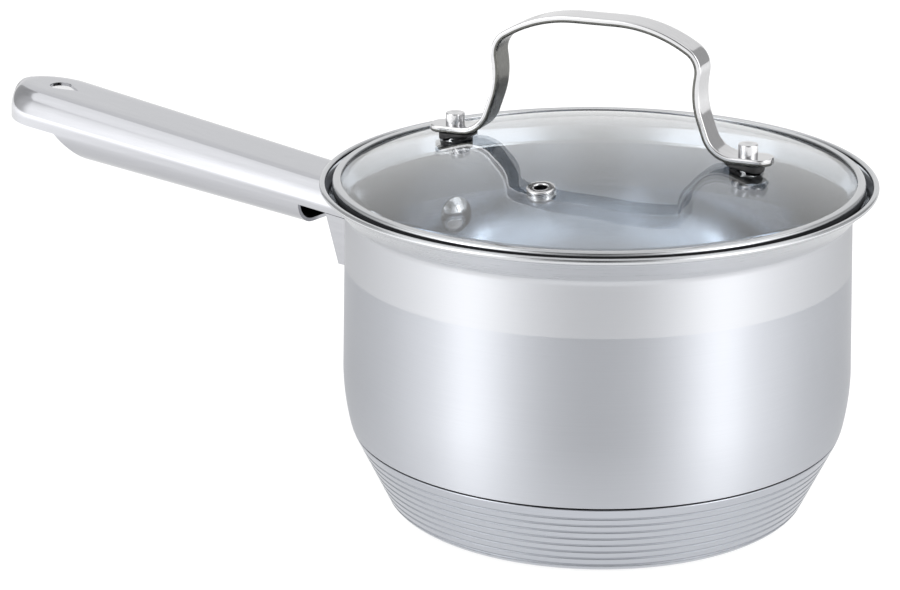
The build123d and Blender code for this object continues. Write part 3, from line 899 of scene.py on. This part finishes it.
def make_band():
    """Steel band folded round the glass, with rounded folds."""
    fold = band_radius - BAND_FOLD
    side = band_radius - BAND_SHEET
    outline = rounded([
        (fold, band_low, FOLD_EDGE),
        (band_radius, band_low, BAND_EDGE),
        (band_radius, band_high, BAND_EDGE),
        (fold, band_high, FOLD_EDGE),
        (fold, band_high - BAND_SHEET, 0),
        (side, band_high - BAND_SHEET, 0),
        (side, band_low + BAND_SHEET, 0),
        (fold, band_low + BAND_SHEET, 0),
    ])
    materials = [rim_steel, band_side_painted_shade_steel]
    plain, shaded = range(len(materials))
    # The lower part of the band's outer side gets painted shade, for the dark gap above the rim
    shade_top = band_low + BAND_SHADE
    zones = [shaded if r > side and z < shade_top else plain for r, z in outline]
    return lathe("lid_rim_band_folded", outline, materials, zones)


def strap_route():
    """Centre line of the strap as points across and up, from one foot to the other."""
    half = [
        (SCREW_SPREAD + FOOT_END, 0),
        (SCREW_SPREAD - BEND_INSET, 0),
        (SCREW_SPREAD - WAIST[0], WAIST[1]),
        (SCREW_SPREAD - SHOULDER[0], SHOULDER[1]),
        (SCREW_SPREAD - CROWN_INSET, STRAP_RISE),
    ]
    corners = half + [(-x, z) for x, z in reversed(half)]
    radii = BENDS + BENDS[::-1]
    end = corners[0]
    points = []
    for step in range(STRAP_STEPS):
        share = 1 - cos(pi / 2 * step / STRAP_STEPS)
        points.append((end[0] - FOOT_CORNER * share, end[1]))
    points += line((end[0] - FOOT_CORNER, 0), (corners[1][0] + BENDS[0], 0), STRAP_FLAT_STEPS)
    foot = list(points)
    for i, radius in enumerate(radii, 1):
        points += bend(corners[i - 1], corners[i], corners[i + 1], radius, STRAP_STEPS)
    points += [(-x, z) for x, z in reversed(foot)]
    return points


def make_strap():
    """Bent flat strap with rounded edges and feet."""
    route = [Vector(p) for p in strap_route()]
    width, thickness = STRAP_SIZE
    rings = []
    for i, here in enumerate(route):
        ahead = route[min(i + 1, len(route) - 1)]
        back = route[max(i - 1, 0)]
        along = (ahead - back).normalized()
        normal = Vector((along[1], -along[0]))
        from_end = min((here - route[0]).length, (here - route[-1]).length)
        inside = max(FOOT_CORNER - from_end, 0)
        half = width / 2 - FOOT_CORNER + sqrt(FOOT_CORNER**2 - inside**2)
        section = rounded_rectangle(2 * half, thickness, STRAP_EDGE, STRAP_EDGE_STEPS, STRAP_FACE_STEPS)
        ring = []
        for y, n in section:
            spot = here + normal * n
            ring.append((spot[0], y, foot_low + thickness / 2 + spot[1]))
        rings.append(ring)
    materials = [strap_steel, strap_under_painted_shade]
    above, below = range(len(materials))
    # Faces under the strap get the painted dark reflection
    zones = []
    for i, (_, rise) in enumerate(section):
        after = section[(i + 1) % len(section)][1]
        zones.append(below if max(rise, after) < 0 else above)
    return skin("lid_strap_bent", rings, materials, zones, place=lid_matrix)


def make_nut(name, side):
    """Round nut with a rounded top and a shallow dimple."""
    radius, height = NUT_SIZE
    dimple, depth = NUT_DIMPLE
    outline = [(SCREW_RADIUS, 0), (radius, 0)]
    outline += bend((radius, 0), (radius, height), (0, height), NUT_EDGE, ROUND_STEPS)
    outline += bend((radius, height), (dimple, height), (dimple / 2, height - depth), NUT_EDGE, EDGE_STEPS)
    outline += [(0, height - depth), (0, 0)]
    place = lid_matrix @ Matrix.Translation((side * SCREW_SPREAD, 0, foot_high))
    return lathe(name, outline, [fastener_steel], steps=SMALL_TURN_STEPS, closed=False, place=place)


def make_pad(name, side):
    """Rubber pad that fits the dome below and the strap's foot above."""
    width, depth = PAD_SIZE
    centre = side * (SCREW_SPREAD - PAD_SHIFT)

    def ring(trim, height):
        points = []
        corner = FOOT_CORNER - trim
        for x, y in rounded_rectangle(width - 2 * trim, depth - 2 * trim, corner, FOOT_STEPS):
            x += centre
            low = glass_high(sqrt(x**2 + y**2)) + SEAL_FIT
            points.append((x, y, height(low)))
        return points

    rings = [ring(PAD_EDGE, lambda low: low)]
    for step in range(1, ROUND_STEPS + 1):
        angle = pi / 2 * step / ROUND_STEPS
        trim = PAD_EDGE * (1 - sin(angle))
        lift = PAD_EDGE * (1 - cos(angle))
        rings.append(ring(trim, lambda low, lift=lift: low + lift))
    for step in range(ROUND_STEPS + 1):
        angle = pi / 2 * step / ROUND_STEPS
        trim = PAD_EDGE * (1 - cos(angle))
        lift = PAD_EDGE * (1 - sin(angle))
        rings.append(ring(trim, lambda _, lift=lift: foot_low - lift))
    return skin(name, rings, [black_rubber], place=lid_matrix)


def make_vent():
    """Eyelet with a rounded flange on the glass and a lip below."""
    flange, flange_height = VENT_FLANGE
    lip, lip_height = VENT_LIP
    low = VENT_FIT / 2
    lip_high = -vent_depth - 2 * VENT_FIT - VENT_WASHER
    outline = rounded([
        (VENT_BORE, low + flange_height, VENT_EDGE),
        (VENT_BORE, lip_high - lip_height, VENT_EDGE / 2),
        (lip, lip_high - lip_height, VENT_EDGE / 2),
        (lip, lip_high, 0),
        (VENT_BARREL, lip_high, 0),
        (VENT_BARREL, low, 0),
        (flange, low, 0),
        (flange, low + flange_height, VENT_EDGE),
    ])
    place = vent_matrix()
    return lathe("vent_eyelet_rolled", outline, [fastener_steel], steps=SMALL_TURN_STEPS, place=place)


glass = make_glass()
band = make_band()
strap = make_strap()
vent = make_vent()
nuts = {
    "lid_nut_left": make_nut("nut_left_round", -1),
    "lid_nut_right": make_nut("nut_right_round", 1),
}
pads = {
    "lid_pad_left": make_pad("pad_left_moulded", -1),
    "lid_pad_right": make_pad("pad_right_moulded", 1),
}

# Bodies, replaced nodes and slots
made = [
    (pan, "pan", "pan_wall", "pan_steel"),
    (base, "pan", "base_cap", "base_steel"),
    (handle, "pan", "handle_shell", "handle_steel"),
    (glass, "lid", "lid_glass", "lid_glass"),
    (band, "lid", "lid_rim_band", "band_steel"),
    (strap, "lid", "lid_handle", "strap_steel"),
    (vent, "lid", "vent_eyelet", "fastener_steel"),
]
made += [(piece, "pan", node, "rivet_steel") for node, piece in rivets.items()]
made += [(piece, "lid", node, "fastener_steel") for node, piece in nuts.items()]
made += [(piece, "lid", node, "black_rubber") for node, piece in pads.items()]
for piece, body, node, slot in made:
    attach(piece, body)
    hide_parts(node)

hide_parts("pan_floor")

# Nodes kept from the CAD
kept = {
    "heat_spreader": core_metal,
    "handle_bracket": handle_steel,
    "vent_gasket": clear_rubber,
    "vent_washer": fastener_steel,
}
for side in ("left", "right"):
    kept[f"lid_seal_{side}"] = black_rubber
    kept[f"lid_washer_{side}"] = fastener_steel
    kept[f"lid_screw_{side}"] = fastener_steel
for node, material in kept.items():
    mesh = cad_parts[node].data
    mesh.materials.clear()
    mesh.materials.append(material)


# Camera, at the photograph's angle
CAMERA_ROUND = radians(35.0)
CAMERA_RISE = radians(22.152)
CAMERA_DISTANCE = 937.29
CAMERA_YAW = radians(-3.118)
CAMERA_PITCH = radians(-18.254)
CAMERA_ROLL = radians(-0.321)
FOCAL_PIXELS = 2836.4
PICTURE_WIDTH = 900
SENSOR = 36.0


def make_camera():
    """Camera fitted to the photograph's rim, seam and base circles."""
    spin = Matrix.Rotation(CAMERA_ROUND, 3, "Z")
    place = spin @ Vector((0, -cos(CAMERA_RISE), sin(CAMERA_RISE))) * CAMERA_DISTANCE * MM
    flat = cos(CAMERA_PITCH)
    ahead = spin @ Vector((sin(CAMERA_YAW) * flat, cos(CAMERA_YAW) * flat, sin(CAMERA_PITCH)))
    level = ahead.cross(Vector((0, 0, 1))).normalized()
    upright = level.cross(ahead)
    right = cos(CAMERA_ROLL) * level + sin(CAMERA_ROLL) * upright
    up = cos(CAMERA_ROLL) * upright - sin(CAMERA_ROLL) * level
    turn = Matrix((right, up, -ahead)).transposed().to_4x4()
    data = bpy.data.cameras.new("camera")
    data.sensor_width = SENSOR
    data.sensor_fit = "HORIZONTAL"
    data.lens = FOCAL_PIXELS / PICTURE_WIDTH * SENSOR
    camera = add_object("camera", data)
    camera.matrix_world = Matrix.Translation(place) @ turn
    bpy.context.scene.camera = camera


make_camera()


# Stage: floor, studio walls, lamps and world, in metres
STAGE_RADIUS = 2.6
WALL_HEIGHT = 2.4
CANOPY_HEIGHT = 8.0           # top of the canopy, which stands on the wall
FLOOR_HALF = 6.0
FLOOR_GLOW = 0.85             # how bright the floor shows to the camera, on top of its lit colour
FLOOR_COLOUR = 0.2
FLOOR_NEAR = 0.3              # where the pools of light beside the object start
FLOOR_FAR = 0.9               # where they are full
FLOOR_POOL = 1.1              # how much they add
FLOOR_FRONT = 1.06            # how bright the floor shows in metal and glass, before the object
FLOOR_BACK = 0.62             # and behind it
WALL_STEPS = 96
WALL_OPEN = radians(32.0)     # half of the opening behind the object
# Brightness of the studio wall and of the canopy over it at angles from the camera's direction, in degrees
WALL_TONES = (
    (0, 0.3), (18, 0.55), (34, 1.4), (46, 2.8), (54, 4.6),
    (60, 4.6), (68, 2.3), (84, 1.6), (104, 0.75), (132, 0.5),
)
CANOPY_TONES = ((0, 0.05), (30, 0.3), (60, 1.5), (110, 1.5), (148, 1.4))
# Name, place, size and power of each lamp
LAMPS = (
    ("top_light", (0.3, 0.2, 1.7), 1.6, 14.0),
    ("key_light", (-1.3, -1.1, 1.2), 0.9, 10.0),
    ("fill_light", (1.6, 0.5, 1.2), 0.9, 8.0),
)
WORLD_FILL = 0.55             # how bright the world lights what is neither metal nor glass


def make_floor():
    """White floor that keeps the object's shadow."""
    mesh = bpy.data.meshes.new("floor")
    half = FLOOR_HALF
    corners = [(-half, -half, 0), (half, -half, 0), (half, half, 0), (-half, half, 0)]
    mesh.from_pydata(corners, [], [(0, 1, 2, 3)])
    material, tree, shader = new_material("floor")
    shader.inputs["Base Color"].default_value = (FLOOR_COLOUR, FLOOR_COLOUR, FLOOR_COLOUR, 1)
    shader.inputs["Roughness"].default_value = 1.0
    shader.inputs["Specular IOR Level"].default_value = 0.0
    shader.inputs["Emission Color"].default_value = (1, 1, 1, 1)
    path = tree.nodes.new("ShaderNodeLightPath")
    glossy, through = path.outputs["Is Glossy Ray"], path.outputs["Is Transmission Ray"]
    mirrored = add_math(tree, "MAXIMUM", glossy, through)
    ahead, aside, _ = turned_axes(tree, pi / 2 - CAMERA_ROUND)
    square = add_squares(tree, ahead, aside)
    far = add_math(tree, "SQRT", square, 0.0)
    sideways = add_math(tree, "DIVIDE", add_math(tree, "MULTIPLY", aside, aside), square)
    rise = tree.nodes.new("ShaderNodeMapRange")
    rise.interpolation_type = "SMOOTHSTEP"
    rise.inputs["From Min"].default_value = FLOOR_NEAR
    rise.inputs["From Max"].default_value = FLOOR_FAR
    tree.links.new(far, rise.inputs["Value"])
    sideways = add_math(tree, "MULTIPLY", sideways, sideways)
    pool = add_math(tree, "MULTIPLY", rise.outputs["Result"], sideways)
    pool = add_math(tree, "MULTIPLY", pool, FLOOR_POOL)
    lean = add_math(tree, "DIVIDE", ahead, far)
    lean = add_math(tree, "MULTIPLY", lean, (FLOOR_FRONT - FLOOR_BACK) / 2)
    even = add_math(tree, "ADD", lean, (FLOOR_FRONT + FLOOR_BACK) / 2)
    shown = add_math(tree, "MULTIPLY", mirrored, add_math(tree, "ADD", pool, even))
    white = add_math(tree, "MULTIPLY", path.outputs["Is Camera Ray"], FLOOR_GLOW)
    tree.links.new(add_math(tree, "ADD", shown, white), shader.inputs["Emission Strength"])
    mesh.materials.append(material)
    floor = add_object("floor", mesh)


def make_studio_wall(name, low, high, tones):
    """Curved wall with soft lights at both sides, open behind the object, out of the camera's sight."""
    aim = CAMERA_ROUND - pi / 2
    reach = pi - WALL_OPEN
    verts = []
    for step in range(WALL_STEPS + 1):
        angle = aim - reach + 2 * reach * step / WALL_STEPS
        x, y = STAGE_RADIUS * cos(angle), STAGE_RADIUS * sin(angle)
        verts += [(x, y, low), (x, y, high)]
    faces = [(2 * i, 2 * i + 2, 2 * i + 3, 2 * i + 1) for i in range(WALL_STEPS)]
    mesh = bpy.data.meshes.new(name)
    mesh.from_pydata(verts, [], faces)
    material, tree, shader = new_material(name)
    ahead, aside, _ = turned_axes(tree, -aim)
    angle = add_math(tree, "ABSOLUTE", add_math(tree, "ARCTAN2", aside, ahead), 0.0)
    share = add_math(tree, "DIVIDE", angle, pi)
    ramp = tree.nodes.new("ShaderNodeValToRGB")
    ramp.color_ramp.interpolation = "EASE"
    top = max(tone for _, tone in tones)
    stops = ramp.color_ramp.elements
    while len(stops) < len(tones):
        stops.new(0.5)
    for stop, (degrees_out, tone) in zip(stops, tones):
        stop.position = degrees_out / 180
        stop.color = (tone / top, tone / top, tone / top, 1)
    tree.links.new(share, ramp.inputs["Fac"])
    shader.inputs["Base Color"].default_value = (0, 0, 0, 1)
    shader.inputs["Specular IOR Level"].default_value = 0.0
    tree.links.new(ramp.outputs["Color"], shader.inputs["Emission Color"])
    shader.inputs["Emission Strength"].default_value = top
    mesh.materials.append(material)
    wall = add_object(name, mesh)
    wall.visible_camera = False
    wall.visible_shadow = False


def make_lamps():
    """Soft lamps that aim at the middle of the pan."""
    target = Vector((0, 0, PAN_HEIGHT / 2 * MM))
    for name, spot, size, power in LAMPS:
        data = bpy.data.lights.new(name, "AREA")
        data.shape = "SQUARE"
        data.size = size
        data.energy = power
        lamp = add_object(name, data)
        lamp.location = spot
        lamp.rotation_mode = "QUATERNION"
        lamp.rotation_quaternion = (Vector(spot) - target).to_track_quat("Z", "Y")
        lamp.visible_camera = False
        lamp.visible_glossy = False
        lamp.visible_transmission = False


def make_world():
    """White world for what the camera, metal and glass see, and a softer fill for the rest."""
    world = bpy.data.worlds.new("world")
    bpy.context.scene.world = world
    world.use_nodes = True
    tree = world.node_tree
    back = next(n for n in tree.nodes if n.type == "BACKGROUND")
    back.inputs["Color"].default_value = (1, 1, 1, 1)
    path = tree.nodes.new("ShaderNodeLightPath")
    seen = add_math(tree, "MAXIMUM", path.outputs["Is Camera Ray"], path.outputs["Is Glossy Ray"])
    seen = add_math(tree, "MAXIMUM", seen, path.outputs["Is Transmission Ray"])
    extra = add_math(tree, "MULTIPLY", seen, 1 - WORLD_FILL)
    tree.links.new(add_math(tree, "ADD", extra, WORLD_FILL), back.inputs["Strength"])


make_floor()
make_studio_wall("studio_wall", 0.0, WALL_HEIGHT, WALL_TONES)
make_studio_wall("studio_canopy", WALL_HEIGHT, CANOPY_HEIGHT, CANOPY_TONES)
make_lamps()
make_world()

bpy.context.scene.view_settings.view_transform = "Standard"
